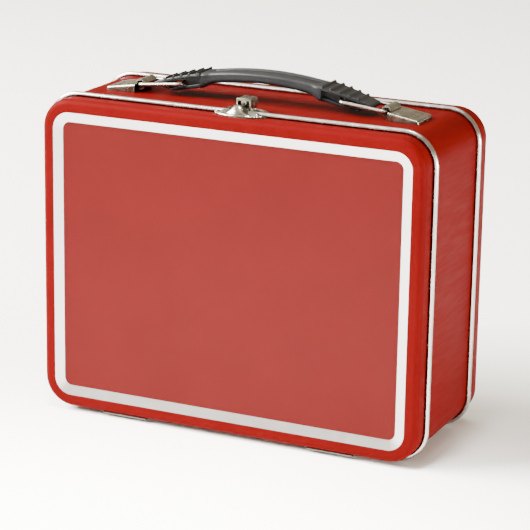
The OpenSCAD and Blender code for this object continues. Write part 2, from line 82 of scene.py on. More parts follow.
SHEET = 0.4 * MM
CORNER_R = 16.3 * MM
EDGE_R = 4 * MM
FRAME_OUT = 6.8 * MM            # case wall to the frame's outer edge
FRAME_IN = 12.2 * MM            # case wall to the frame's inner edge
RECESS = 1.4 * MM
RIM_GAP = 0.15 * MM
FLANGE_IN = 0.7 * MM


# ---- small mesh tools ----

def finish_mesh(name, bm, materials, body, replaced=(), smooth_angle=40):
    """Turns a bmesh into a shaded object that rides on a body."""
    bmesh.ops.recalc_face_normals(bm, faces=bm.faces)
    if bm.calc_volume(signed=True) < 0:
        bmesh.ops.reverse_faces(bm, faces=bm.faces)
    mesh = bpy.data.meshes.new(name)
    bm.to_mesh(mesh)
    bm.free()
    for m in materials:
        mesh.materials.append(m)
    obj = bpy.data.objects.new(name, mesh)
    bpy.context.scene.collection.objects.link(obj)
    for p in mesh.polygons:
        p.use_smooth = True
    mesh.set_sharp_from_angle(angle=math.radians(smooth_angle))
    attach(obj, body)
    if replaced:
        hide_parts(*replaced)
    return obj


def add_rings(bm, rings, closed=False, caps=(True, True), pick=None):
    """Joins rings of equally many points. pick(i) gives the material of the band after ring i."""
    made = [[bm.verts.new(p) for p in ring] for ring in rings]
    count = len(rings[0])
    last = len(rings) if closed else len(rings) - 1
    for i in range(last):
        a, b = made[i], made[(i + 1) % len(rings)]
        for k in range(count):
            n = (k + 1) % count
            face = bm.faces.new((a[k], a[n], b[n], b[k]))
            face.material_index = pick(i) if pick else 0
    if not closed:
        for at, wanted in ((0, caps[0]), (-1, caps[1])):
            if wanted:
                face = bm.faces.new(made[at])
                face.material_index = pick(0 if at == 0 else last - 1) if pick else 0


def arc(cx, cy, radius, first, last, steps):
    """Points on an arc between two angles in degrees."""
    angles = [math.radians(first + (last - first) * k / steps) for k in range(steps + 1)]
    return [(cx + radius * math.cos(a), cy + radius * math.sin(a)) for a in angles]


def round_path(points, steps=6):
    """Polyline through (u, v, radius) points with each corner rounded to its radius."""
    out = []
    count = len(points)
    for i, (u, v, r) in enumerate(points):
        if r <= 0 or i in (0, count - 1):
            out.append((u, v))
            continue
        p = Vector((u, v))
        a = (Vector(points[i - 1][:2]) - p)
        b = (Vector(points[i + 1][:2]) - p)
        turn = a.angle(b)
        cut = min(r / math.tan(turn / 2), a.length * 0.49, b.length * 0.49)
        r = cut * math.tan(turn / 2)
        a.normalize()
        b.normalize()
        centre = p + (a + b).normalized() * (r / math.sin(turn / 2))
        start, end = p + a * cut - centre, p + b * cut - centre
        first = math.atan2(start.y, start.x)
        sweep = (math.atan2(end.y, end.x) - first + PI) % (2 * PI) - PI
        for k in range(steps + 1):
            angle = first + sweep * k / steps
            out.append((centre.x + r * math.cos(angle), centre.y + r * math.sin(angle)))
    return out


def case_ring(out, y, corner_steps=12, side_steps=10):
    """Rounded rectangle round the case at this depth, moved out from the wall."""
    half_w, half_h = WALL_HALF_W + out, WALL_HALF_H + out
    r = max(CORNER_R + out, 0.6 * MM)
    centres = [(half_w - r, half_h - r, 0), (-half_w + r, half_h - r, 90),
               (-half_w + r, -half_h + r, 180), (half_w - r, -half_h + r, 270)]
    ring = []
    for i, (cx, cz, first) in enumerate(centres):
        for k in range(corner_steps + 1):
            a = math.radians(first + 90 * k / corner_steps)
            ring.append(Vector((cx + r * math.cos(a), y, MID_Z + cz + r * math.sin(a))))
        nx, nz, turn = centres[(i + 1) % 4]
        a = math.radians(turn)
        goal = Vector((nx + r * math.cos(a), y, MID_Z + nz + r * math.sin(a)))
        start = ring[-1].copy()
        for k in range(1, side_steps):
            ring.append(start.lerp(goal, k / side_steps))
    return ring


def cut_boxes(obj, boxes):
    """Cuts axis-aligned boxes, each given by its low and high corner, out of an object."""
    for low, high in boxes:
        size = Vector(high) - Vector(low)
        centre = (Vector(high) + Vector(low)) / 2
        bm = bmesh.new()
        bmesh.ops.create_cube(bm, size=1, matrix=Matrix.Translation(centre) @ Matrix.Diagonal((*size, 1)))
        cut_with(obj, bm)


def cut_with(obj, bm):
    """Cuts the solids in a bmesh out of an object for good."""
    mesh = bpy.data.meshes.new("cutter")
    bm.to_mesh(mesh)
    bm.free()
    cutter = bpy.data.objects.new("cutter", mesh)
    bpy.context.scene.collection.objects.link(cutter)
    modifier = obj.modifiers.new("cut", "BOOLEAN")
    modifier.operation = "DIFFERENCE"
    modifier.solver = "MANIFOLD"
    modifier.object = cutter
    bpy.context.view_layer.update()
    cut = bpy.data.meshes.new_from_object(obj.evaluated_get(bpy.context.evaluated_depsgraph_get()))
    obj.modifiers.remove(modifier)
    old = obj.data
    obj.data = cut
    bpy.data.meshes.remove(old)
    bpy.data.objects.remove(cutter)
    bpy.data.meshes.remove(mesh)


def ring_round(centre, normal, side, radius, sides):
    """Circle of points round a centre, in the plane of two unit vectors."""
    angles = [2 * PI * k / sides for k in range(sides)]
    return [centre + (normal * math.cos(a) + side * math.sin(a)) * radius for a in angles]


def tube_rings(path, radius, sides=20):
    """Rings of a round bar along a path, with slightly rounded ends."""
    end_radius, end_depth = 0.75 * radius, 0.25 * radius
    last = len(path) - 1
    tangents = [(path[min(i + 1, last)] - path[max(i - 1, 0)]).normalized() for i in range(last + 1)]
    normal = tangents[0].orthogonal().normalized()
    rings = []
    for i, (p, t) in enumerate(zip(path, tangents)):
        normal = (normal - t * normal.dot(t)).normalized()
        side = t.cross(normal)
        if i == 0:
            stops = [(p, end_radius), (p + t * end_depth, radius)]
        elif i == last:
            stops = [(p - t * end_depth, radius), (p, end_radius)]
        else:
            stops = [(p, radius)]
        rings += [ring_round(centre, normal, side, r, sides) for centre, r in stops]
    return rings


# ---- materials ----

class Nodes:
    """Short way to wire a node material."""

    def __init__(self, name):
        self.material = bpy.data.materials.new(name)
        self.material.use_nodes = True
        self.tree = self.material.node_tree
        self.shader = self.tree.nodes["Principled BSDF"]
        self.place = self.add("ShaderNodeTexCoord").outputs["Object"]

    def add(self, kind, **settings):
        node = self.tree.nodes.new(kind)
        for key, value in settings.items():
            setattr(node, key, value)
        return node

    def link(self, a, b):
        self.tree.links.new(a, b)

    def noise(self, scale, detail=4.0, stretch=(1, 1, 1), rough=0.55):
        mapping = self.add("ShaderNodeMapping")
        mapping.inputs["Scale"].default_value = stretch
        self.link(self.place, mapping.inputs["Vector"])
        node = self.add("ShaderNodeTexNoise")
        node.inputs["Scale"].default_value = scale
        node.inputs["Detail"].default_value = detail
        node.inputs["Roughness"].default_value = rough
        self.link(mapping.outputs["Vector"], node.inputs["Vector"])
        return node.outputs["Fac"]

    def remap(self, value, low, high, to_low, to_high):
        node = self.add("ShaderNodeMapRange")
        for key, v in (("From Min", low), ("From Max", high), ("To Min", to_low), ("To Max", to_high)):
            node.inputs[key].default_value = v
        self.link(value, node.inputs["Value"])
        return node.outputs["Result"]

    def mix(self, factor, a, b):
        node = self.add("ShaderNodeMix", data_type="RGBA")
        self.link(factor, node.inputs["Factor"])
        for socket, value in ((node.inputs[6], a), (node.inputs[7], b)):
            if hasattr(value, "is_output"):
                self.link(value, socket)
            else:
                socket.default_value = (*value, 1)
        return node.outputs[2]

    def bump(self, heights):
        """Chains bumps: a list of (height, strength, distance)."""
        normal = None
        for height, strength, distance in heights:
            node = self.add("ShaderNodeBump")
            node.inputs["Strength"].default_value = strength
            node.inputs["Distance"].default_value = distance
            self.link(height, node.inputs["Height"])
            if normal is not None:
                self.link(normal, node.inputs["Normal"])
            normal = node.outputs["Normal"]
        self.link(normal, self.shader.inputs["Normal"])

    def set(self, **values):
        for key, value in values.items():
            socket = self.shader.inputs[key.replace("_", " ")]
            if hasattr(value, "is_output"):
                self.link(value, socket)
            elif isinstance(value, tuple):
                socket.default_value = (*value, 1)
            else:
                socket.default_value = value


def paint_material(name, light, dark, rough, specular):
    """Baked enamel or printed lacquer: faint mottling, orange peel, fine rubbing marks."""
    n = Nodes(name)
    mottle = n.noise(38, 5)
    fine = n.noise(900, 3)
    rub = n.noise(60, 6, stretch=(1, 1, 9))
    n.set(Base_Color=n.mix(n.remap(mottle, 0.35, 0.65, 0, 1), light, dark),
          Roughness=n.remap(rub, 0.3, 0.7, rough - 0.05, rough + 0.07), Specular_IOR_Level=specular)
    n.bump([(n.noise(14, 2), 0.12, 0.6 * MM), (fine, 0.06, 0.05 * MM)])
    return n.material


def metal_material(name, light, dark, rough, stretch=(1, 1, 1), brushed=0.1, tarnish=30,
                   painted_crevice_shade=None, uneven=1.0):
    """Plated, bare or drawn metal: blotches, streaks, small pits, and painted shade darkening the corners
    when painted_crevice_shade is set.
    """
    n = Nodes(name)
    blotch = n.noise(tarnish, 6)
    streak = n.noise(240, 4, stretch=stretch)
    pits = n.noise(1500, 2)
    base = n.mix(n.remap(blotch, 0.38, 0.7, 0, 1), light, dark)
    # Painted shade: ambient occlusion darkens the base colour in corners, folds and grooves.
    if painted_crevice_shade:
        painted_shade_ao = n.add("ShaderNodeAmbientOcclusion", samples=8)
        painted_shade_ao.inputs["Distance"].default_value = painted_crevice_shade
        base = n.mix(n.remap(painted_shade_ao.outputs["AO"], 0.25, 0.85, 0, 1), tuple(v * 0.16 for v in dark), base)
    n.set(Base_Color=base, Metallic=1.0,
          Roughness=n.remap(streak, 0.3, 0.7, rough - 0.07 * uneven, rough + 0.1 * uneven))
    n.bump([(streak, brushed, 0.05 * MM), (pits, 0.05 * uneven, 0.03 * MM)])
    return n.material


def plastic_material(name):
    """Semi-matt moulded black plastic: fine spark grain, greyed where it is rubbed."""
    n = Nodes(name)
    grain = n.noise(2200, 3)
    wear = n.noise(45, 6, stretch=(1, 2.5, 2.5))
    base = n.mix(n.remap(wear, 0.45, 0.75, 0, 1), (0.006, 0.0062, 0.0072), (0.011, 0.0113, 0.0125))
    n.set(Base_Color=base, Roughness=n.remap(wear, 0.3, 0.7, 0.3, 0.44), Specular_IOR_Level=0.16)
    n.bump([(grain, 0.25, 0.04 * MM), (n.noise(120, 2), 0.1, 0.2 * MM)])
    return n.material


ENAMEL = paint_material("red_enamel", (0.06, 0.0017, 0.0017), (0.055, 0.0015, 0.0015), 0.44, 0.009)
PRINT = paint_material("printed_panel", (0.053, 0.0025, 0.0023), (0.049, 0.0023, 0.0021), 0.34, 0.052)
TIN = metal_material("bare_tin", (0.47, 0.46, 0.455), (0.43, 0.42, 0.41), 0.3, brushed=0.012, tarnish=12,
                     uneven=0.35)
# Rolled rims: the crevice darkening is painted shade on their undersides and in the gaps beside them.
RIM_TIN = metal_material("rim_tin", (0.42, 0.41, 0.39), (0.32, 0.31, 0.295), 0.22, brushed=0.05,
                         painted_crevice_shade=1.5 * MM)
LACQUER = metal_material("lacquered_tin", (0.72, 0.71, 0.68), (0.62, 0.61, 0.57), 0.45, brushed=0.06)
# Latch and bracket nickel: base colours sit far below plated nickel's own so that reflections of the bright
# studio read dark, which is painted shade; the crevice darkening is painted shade in folds, grooves and
# under the dome.
NICKEL = metal_material("worn_nickel", (0.3, 0.28, 0.225), (0.13, 0.12, 0.092), 0.27, brushed=0.12,
                        tarnish=160, painted_crevice_shade=1.6 * MM)
PLATE = metal_material("worn_nickel_plate", (0.17, 0.158, 0.128), (0.09, 0.082, 0.064), 0.17, brushed=0.12,
                       tarnish=160, painted_crevice_shade=3.5 * MM)
# Hinge-leaf steel: base colour set far darker than steel's own as painted shade for the shadow under the
# box's bottom front edge, with painted crevice shade on top.
SHADE_DARK_STEEL = metal_material("steel_darkened_as_shade", (0.1, 0.095, 0.085), (0.06, 0.056, 0.05), 0.4, stretch=(1, 8, 8),
                            painted_crevice_shade=3 * MM)
STEEL = metal_material("plain_steel", (0.55, 0.55, 0.54), (0.42, 0.41, 0.4), 0.35, stretch=(1, 8, 8))
WIRE = metal_material("drawn_wire", (0.33, 0.31, 0.275), (0.22, 0.21, 0.185), 0.28, stretch=(1, 6, 6))
BLACK = plastic_material("black_plastic")


# ---- case ----

def pan_profile(face, inward, wall_end, flange_end):
    """Path of a pressed pan's sheet from the outside centre to the inside centre, as (out, y) points,
    with the material of each stretch: 0 enamel, 1 bare frame, 2 panel, 3 inside."""
    def y(depth):
        return face + inward * depth
    depth_wall = abs(wall_end - face)
    depth_flange = abs(flange_end - face)
    deep = WALL_HALF_H * 0.86
    s, soft = SHEET, 0.9 * MM
    outside = round_path([(-deep, RECESS, 0), (-FRAME_IN, RECESS, soft), (-FRAME_OUT, 0, soft),
                          (0, 0, EDGE_R), (0, depth_wall, 0.25 * MM),
                          (-FLANGE_IN, depth_wall, 0.15 * MM), (-FLANGE_IN, depth_flange, 0)], 7)
    inside = round_path([(-FLANGE_IN - s, depth_flange, 0), (-FLANGE_IN - s, depth_wall - s, 0.15 * MM),
                         (-s, depth_wall - s, 0.2 * MM), (-s, s, EDGE_R - s), (-FRAME_OUT, s, soft),
                         (-FRAME_IN, RECESS + s, soft), (-deep, RECESS + s, 0)], 7)
    points = outside + inside
    kinds = []
    for i in range(len(points) - 1):
        out = (points[i][0] + points[i + 1][0]) / 2
        if i >= len(outside) - 1:
            kinds.append(3)
        elif out < -FRAME_IN + 0.2 * MM:
            kinds.append(2)
        elif out < -FRAME_OUT - 0.2 * MM:
            kinds.append(1)
        else:
            kinds.append(0)
    return [(out, y(depth)) for out, depth in points], kinds


def build_pan(name, node, body, face, inward, wall_end, flange_end, panel_material):
    """Lid or back: one sheet bent through the pan's whole section."""
    path, kinds = pan_profile(face, inward, wall_end, flange_end)
    bm = bmesh.new()
    add_rings(bm, [case_ring(out, y) for out, y in path], pick=lambda i: kinds[min(i, len(kinds) - 1)])
    return finish_mesh(name, bm, [ENAMEL, TIN, panel_material, LACQUER], body, [node], 50)


def curl(rim_y, first, last, r, steps=26):
    """Arc round a rim's centre, as (out, y) points. Angle 180 faces the case wall."""
    return arc(RIM_OUT, rim_y, r, first, last, steps)


def build_band():
    """The wall strip with both edges rolled outward into rims."""
    seam = 48                   # degrees short of the wall at which the rolled edge stops
    inner_r = RIM_R - SHEET
    rear_in = curl(REAR_RIM, 180, -180 + seam, inner_r)
    rear_out = curl(REAR_RIM, -180 + seam, 180, RIM_R)
    front_out = curl(FRONT_RIM, 180, 540 - seam, RIM_R)
    front_in = curl(FRONT_RIM, 540 - seam, 180, inner_r)
    spans = 8
    wall_out = [(0, FRONT_RIM + (REAR_RIM - FRONT_RIM) * k / spans) for k in range(1, spans)]
    wall_in = [(-SHEET, y) for _, y in reversed(wall_out)]
    path = wall_out + rear_in + rear_out + wall_in + front_out + front_in
    kinds = ([0] * len(wall_out) + [1] * (len(rear_in) + len(rear_out) - 1) + [2] * (len(wall_in) + 1)
             + [1] * (len(front_out) + len(front_in) - 1) + [0])
    bm = bmesh.new()
    add_rings(bm, [case_ring(out, y) for out, y in path], closed=True, pick=lambda i: kinds[i])
    band = finish_mesh("case_band", bm, [ENAMEL, RIM_TIN, LACQUER], "case", ["body_band"], 50)
    boxes = [((-WALL_HALF_W, LID_FACE, -3 * MM), (WALL_HALF_W, BACK_FACE, 0))]
    for side in ("left", "right"):
        low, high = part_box(f"body_hinge_leaf_{side}")
        boxes.append(((low.x - 0.3 * MM, FRONT_RIM - 3 * MM, -3 * MM),
                      (high.x + 0.3 * MM, FRONT_RIM + 1.75 * MM, WALL_LOW + 1 * MM)))
    cut_boxes(band, boxes)
    return band


build_pan("lid_pan", "front_lid", "lid", LID_FACE, 1, FRONT_RIM - RIM_R - RIM_GAP, lid_high.y, PRINT)
build_pan("back_pan", "back_panel", "case", BACK_FACE, -1, REAR_RIM + RIM_R + RIM_GAP, back_low.y, ENAMEL)
build_band()

# ---- handle ----

CROWN_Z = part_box("handle_grip")[1].z
GRIP_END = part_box("handle_grip")[1].x - HANDLE_X
ARCH_R = 190 * MM
STRAP_HALF_W = 7.75 * MM
STRAP_T = 5.5 * MM
CHANNEL_DEPTH = 0.9 * MM
CHANNEL_EDGE = 1.1 * MM
RIB_PLACES = [(35.7 + 4.9 * k) * MM for k in range(5)]
RIB_RISE = 1.05 * MM
RIB_HALF_T = 0.6 * MM
PLATE_T = 1.8 * MM
PLATE_WIDE = 9.5 * MM           # half width of a ribbed plate at its inner end
PLATE_NARROW = 6.2 * MM         # and at its tip
PLATE_TIP = 1.2 * MM
JAW_START = 26 * MM
JAW_X = 34.8 * MM               # end wall of the pocket under each ribbed plate
LIP_END = 55 * MM
LIP_ROUND = 4 * MM
LIP_T = 2.3 * MM
LIP_HALF_W = 6.4 * MM
LIP_RISE_IN = 5.8 * MM          # lip's underside above the case, at the jaw and at its free end
LIP_RISE_OUT = 1.9 * MM
LOOP_END = Vector((PIVOT_X - 25 * MM, 0, WALL_TOP + 7 * MM))
LOOP_HALF_W = 8.2 * MM
WIRE_R = 1.1 * MM
SLOT_SLOPE = 0.25               # fall of the wire's path under each ribbed plate, per unit of length
SLOT_HALF_H = 1.6 * MM
CAP_X = 72.4 * MM               # inner end of a bracket's cap
CAP_SHEET = 0.8 * MM
CAP_RISE_IN = 4.6 * MM
CAP_RISE_OUT = 1.9 * MM
CAP_EMBOSS = 0.45 * MM
CAP_EDGE_R = 1 * MM


def centre_handle(bm):
    """Moves a handle piece drawn round x = 0 to the handle's own middle."""
    bmesh.ops.translate(bm, vec=(HANDLE_X, 0, 0), verts=bm.verts)


def arch_z(x):
    """Height of the grip's crown line."""
    return CROWN_Z - ARCH_R + math.sqrt(ARCH_R ** 2 - x * x)


def ease(t):
    """Smooth step from 0 to 1."""
    t = min(max(t, 0), 1)
    return t * t * (3 - 2 * t)


def round_off(t):
    """Fall of a quarter circle, from 0 at t = 0 to 1 at t = 1."""
    return 1 - math.sqrt(max(0, 1 - t * t))


def lip_bottom(x):
    """Underside of the lip below the slot."""
    share = (x - JAW_X) / (LIP_END - JAW_X)
    return WALL_TOP + LIP_RISE_IN + share * (LIP_RISE_OUT - LIP_RISE_IN)


def slot_floor(x):
    """Highest the lip may reach, so that the wire slides over it as the grip is lifted."""
    return LOOP_END.z - WIRE_R - 0.45 * MM - SLOT_SLOPE * (x - LOOP_END.x)


def rounded_section(x, half_w, bottom, top, r_low, r_top, channel=0.0, steps=5):
    """Section across the grip at x, with an optional shallow channel along the top."""
    height = top - bottom
    r_low = min(r_low, height * 0.48, half_w * 0.9)
    r_top = min(r_top, height * 0.48, half_w * 0.9)
    side_low, side_top = half_w - r_low, half_w - r_top
    points = arc(side_low, bottom + r_low, r_low, -90, 0, steps)
    points += arc(side_top, top - r_top, r_top, 0, 90, steps)
    for k in range(1, 16):
        y = side_top * (1 - k / 8)
        dip = channel * ease((0.5 * half_w - abs(y)) / CHANNEL_EDGE + 0.5)
        points.append((y, top - dip))
    points += arc(-side_top, top - r_top, r_top, 90, 180, steps)
    points += arc(-side_low, bottom + r_low, r_low, 180, 270, steps)
    return [Vector((x, HANDLE_Y + y, z)) for y, z in points]


def rib_height(x):
    """How far the grip's ribs stand above its plate at this distance from the middle."""
    return sum(RIB_RISE * math.exp(-(abs(x - place) / RIB_HALF_T) ** 4) for place in RIB_PLACES)


def strap_section(x):
    """Waisted strap with its channel, deepening into the jaw block at the end."""
    ax, top = abs(x), arch_z(x)
    half_w = STRAP_HALF_W - 0.35 * MM * ease(ax / (30 * MM)) + 0.6 * MM * ease((ax - 29 * MM) / (4 * MM))
    strap_low = top - STRAP_T - 0.5 * MM * ease(ax / (25 * MM))
    jaw = ease((ax - JAW_START) / (JAW_X - JAW_START)) ** 1.4
    low = strap_low * (1 - jaw) + lip_bottom(JAW_X) * jaw
    channel = CHANNEL_DEPTH * ease((33 * MM - ax) / (3 * MM))
    return rounded_section(x, half_w, low, top, 1.9 * MM, 2.1 * MM, channel)


def plate_section(x):
    """Tapering ribbed plate, flared out of the jaw block and rounded off at its tip."""
    ax, top = abs(x), arch_z(x)
    flare = 1.2 * MM
    along = (ax - JAW_X) / (GRIP_END - JAW_X)
    half_w = PLATE_WIDE - (PLATE_WIDE - PLATE_NARROW) * along
    if ax < JAW_X + flare:
        half_w = 8 * MM + 1.5 * MM * ease((ax - JAW_X) / flare)
    drop = round_off(max(0, (ax - (GRIP_END - PLATE_TIP)) / PLATE_TIP)) * 0.8 * MM
    return rounded_section(x, half_w - drop, top - PLATE_T + drop * 0.4, top + rib_height(ax) - drop,
                           0.5 * MM, 0.55 * MM)


def lip_section(x):
    """Lip below the slot, rounded off at its free end."""
    ax = abs(x)
    end = max(0, (ax - (LIP_END - LIP_ROUND)) / LIP_ROUND)
    half_w = LIP_HALF_W * math.sqrt(max(0.02, 1 - 0.75 * end * end))
    low = lip_bottom(ax)
    top = min(low + LIP_T, slot_floor(ax))
    pinch = 0.3 * MM * end * end
    return rounded_section(x, half_w, low + pinch, top - pinch, 0.7 * MM, 0.5 * MM)


def grip_places():
    """Distances from the middle at which the grip's body is sectioned, closest over the ribs."""
    places = [k * 0.9 * MM for k in range(34)] + [30.4 * MM + k * 0.6 * MM for k in range(7)]
    places += [JAW_X - 0.3 * MM, JAW_X]
    x = JAW_X + 0.1 * MM
    while x < GRIP_END - PLATE_TIP - 0.1 * MM:
        places.append(x)
        x += 0.15 * MM
    return places + [GRIP_END - PLATE_TIP * (1 - math.sin(PI / 2 * k / 6)) for k in range(7)]


def build_grip():
    """Strap and ribbed plates in one run, and the lip at each end."""
    bm = bmesh.new()
    places = grip_places()
    runs = [-x for x in reversed(places[1:])] + places
    add_rings(bm, [(strap_section if abs(x) < JAW_X else plate_section)(x) for x in runs])
    lip = [JAW_X - 1.5 * MM] + [JAW_X + k * MM for k in range(18)]
    lip += [LIP_END - LIP_ROUND + LIP_ROUND * math.sin(PI / 2 * k / 8) for k in range(9)]
    for side in (-1, 1):
        add_rings(bm, [lip_section(side * x) for x in lip])
    centre_handle(bm)
    finish_mesh("grip_body", bm, [BLACK], "grip", ["handle_grip"], 35)


def prism_between(bm, outline, half_w):
    """Block across the handle from an outline in X and Z."""
    add_rings(bm, [[Vector((x, HANDLE_Y + side * half_w, z)) for x, z in outline] for side in (-1, 1)])


def build_grip_web(side, name):
    """Narrow web between a ribbed plate and its lip, with the wire's slot cut through it."""
    web_in, web_out, lip_x = 31 * MM, 59 * MM, LIP_END - 1 * MM
    outline = [(x, arch_z(x) - PLATE_T * 0.5) for x in [web_in + 3.5 * MM * k for k in range(9)]]
    outline += [(web_out, arch_z(web_out) - 3.6 * MM), (lip_x, lip_bottom(lip_x) + 0.6 * MM),
                (web_in, lip_bottom(web_in) + 0.6 * MM)]
    web = bmesh.new()
    prism_between(web, [(side * x, z) for x, z in outline], 4.6 * MM)
    centre_handle(web)
    piece = finish_mesh("grip_web_" + name, web, [BLACK], "grip")
    x0, z0, x1 = LOOP_END.x - 1.3 * MM, LOOP_END.z + 0.33 * MM, 54.2 * MM
    z1 = z0 - SLOT_SLOPE * (x1 - x0)
    slot = [(x0, z0 - SLOT_HALF_H), (x1, z1 - SLOT_HALF_H), (x1, z1 + SLOT_HALF_H), (x0, z0 + SLOT_HALF_H)]
    cutter = bmesh.new()
    prism_between(cutter, [(side * x, z) for x, z in slot], 9 * MM)
    centre_handle(cutter)
    bmesh.ops.recalc_face_normals(cutter, faces=cutter.faces)
    cut_with(piece, cutter)


def build_loop(side, name):
    """Wire loop, bent from one piece."""
    bend = 2 * MM
    pivot = Vector((side * PIVOT_X, HANDLE_Y, LOOP_PIVOT.z))
    end = Vector((side * LOOP_END.x, HANDLE_Y, LOOP_END.z))
    along = (end - pivot).normalized()
    across = Vector((0, 1, 0))
    length = (end - pivot).length
    corner = LOOP_HALF_W - bend
    half = [(length, 2.5 * MM)] + arc(length - bend, corner, bend, 0, 90, 6)
    half += [(length * (1 - k / 10) + bend * (k / 5 - 1) * 0.9, LOOP_HALF_W) for k in range(1, 10)]
    half += arc(bend, corner, bend, 90, 180, 6)
    path = [pivot + along * u + across * v for u, v in half]
    path += [pivot + along * u - across * v for u, v in reversed(half)]
    bm = bmesh.new()
    add_rings(bm, tube_rings(path, WIRE_R, 18))
    centre_handle(bm)
    finish_mesh(f"wire_loop_{name}", bm, [WIRE], "loop_" + name, [f"handle_loop_{name}"], 60)


def cap_section(side, x, x_out, half_w, inset, end):
    """Open section of a bracket cap across the handle: down one side, over the top, down the other.
    inset is the sheet for the inner face, and end runs from 0 to 1 over the rounded outer end."""
    slope = (CAP_RISE_IN - CAP_RISE_OUT) / (x_out - CAP_X)
    drop = round_off(end) * CAP_EDGE_R
    rise = WALL_TOP + CAP_RISE_IN - (x - CAP_X) * slope - inset - drop
    emboss = (CAP_EMBOSS * ease((x - CAP_X - 1.6 * MM) / (1.2 * MM))
              * ease((x_out - 2.6 * MM - x) / (1.2 * MM)))
    half = half_w - inset - drop
    flat = half - CAP_EDGE_R
    points = [(half, WALL_TOP + (rise - CAP_EDGE_R - WALL_TOP) * k / 4) for k in range(5)]
    points += arc(flat, rise - CAP_EDGE_R, CAP_EDGE_R, 0, 90, 6)[1:]
    mirrored = [(-y, z) for y, z in reversed(points)]
    for k in range(1, 20):
        y = flat * (1 - k / 10)
        points.append((y, rise + emboss * ease((flat - 1.3 * MM - abs(y)) / (1.1 * MM))))
    return [Vector((side * x, HANDLE_Y + y, z)) for y, z in points + mirrored]


def barrel_rings(side):
    """Rolled barrel: the cap's top sheet curled into a tube, as a closed sheet section."""
    r_out, r_in = 2.9 * MM, 2.1 * MM
    half_len, edge = 6.6 * MM, 0.15 * MM
    tail_x, tail_z = 73.6 * MM, WALL_TOP + 4.4 * MM
    first, last = -20, 292
    path = arc(PIVOT_X, LOOP_PIVOT.z, r_out, first, last, 40)
    path += arc(PIVOT_X, LOOP_PIVOT.z, r_in, last, first, 40)
    path += [(tail_x, tail_z - CAP_SHEET), (tail_x, tail_z)]
    return [[Vector((side * x, HANDLE_Y + y, z)) for x, z in path]
            for y in (-half_len, -half_len + edge, half_len - edge, half_len)]


def build_bracket(side, name):
    """Pressed cap with a raised field on top and a rolled barrel at the inner end."""
    low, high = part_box(f"handle_bracket_{name}")
    x_out = max(abs(low.x - HANDLE_X), abs(high.x - HANDLE_X))
    half_w = (high.y - low.y) / 2
    tip = x_out - CAP_EDGE_R
    stops = [CAP_X + (tip - CAP_X) * k / 24 for k in range(25)]
    rounds = [math.sin(PI / 2 * k / 5) for k in range(1, 6)]
    outer = [cap_section(side, x, x_out, half_w, 0, 0) for x in stops]
    outer += [cap_section(side, tip + CAP_EDGE_R * t, x_out, half_w, 0, t) for t in rounds]
    inner = [cap_section(side, x, x_out, half_w, CAP_SHEET, 0) for x in reversed(stops)]
    inner[0] = [v - Vector((side * 0.3 * MM, 0, 0)) for v in inner[0]]
    bm = bmesh.new()
    made = [[bm.verts.new(p) for p in ring] for ring in outer + inner]
    outer_end = len(outer) - 1
    for i, a in enumerate(made):
        if i != outer_end:
            b = made[(i + 1) % len(made)]
            for k in range(len(a) - 1):
                bm.faces.new((a[k], a[k + 1], b[k + 1], b[k]))
    bm.faces.new(made[outer_end])
    add_rings(bm, barrel_rings(side))
    centre_handle(bm)
    finish_mesh(f"bracket_{name}", bm, [NICKEL], "case", [f"handle_bracket_{name}"], 40)


SIDES = ((-1, "left"), (1, "right"))
build_grip()
for builder in (build_grip_web, build_loop, build_bracket):
    for side, name in SIDES:
        builder(side, name)

# ---- latch ----

PLATE_HALF_W = 14.9 * MM
SPLIT_FRONT = FRONT_RIM - RIM_R - 0.3 * MM      # back edge of the keeper's plate
SPLIT_BACK = FRONT_RIM + RIM_R + 0.2 * MM       # front edge of the base's plate
KEEPER_REACH = 7 * MM
BASE_REACH = 11.2 * MM
EDGE_RISE = 2.1 * MM            # how far the plates stand up beside the rim
DOME_RISE = 4.4 * MM
LEVER_HALF_W = 4 * MM
LEVER_SHEET = 0.7 * MM
LEVER_FRONT = -4.5 * MM         # lever's ends, top and foot, measured from the pin
LEVER_BACK = 4 * MM
LEVER_TOP = 3.2 * MM
LEVER_FOOT = -3.6 * MM
EAR_R = 1.5 * MM


def plate_height(rho):
    """Height of a latch plate's top from its middle to its edge: raised field, groove, bright bead."""
    bead = 0.95 * MM * math.exp(-((rho - 0.93) / 0.055) ** 2)
    field = 0.7 * MM * ease((0.68 - rho) / 0.14)
    return 0.25 * MM + bead + field


def rise_to_rim(x, y, split, inner):
    """Extra height of a plate's straight edge, which stands up beside the rim."""
    near = ease(1 - abs(y - split) / (3.4 * MM))
    across = abs(x - LATCH_PIN.x)
    fade_out = ease((12.6 * MM - across) / (3.6 * MM))
    fade_in = ease((across - inner) / (1.2 * MM) + 1)
    return EDGE_RISE * near * fade_out * fade_in


def base_height(x, y, rho):
    """The base's plate, which stands up beside the rim except where the lever lies."""
    return plate_height(rho) + rise_to_rim(x, y, SPLIT_BACK, 6.4 * MM)


def keeper_height(x, y, rho):
    """The keeper's plate with its dome, drawn out towards the lever."""
    dx = (x - LATCH_PIN.x + 1.2 * MM) / (7.2 * MM)
    dy = (SPLIT_FRONT - y) / (5.4 * MM)
    dome = DOME_RISE * ease(1.16 - math.hypot(dx, dy)) * ease((0.82 - rho) / 0.12)
    return max(plate_height(rho) + dome, 0.3 * MM + rise_to_rim(x, y, SPLIT_FRONT, 0))


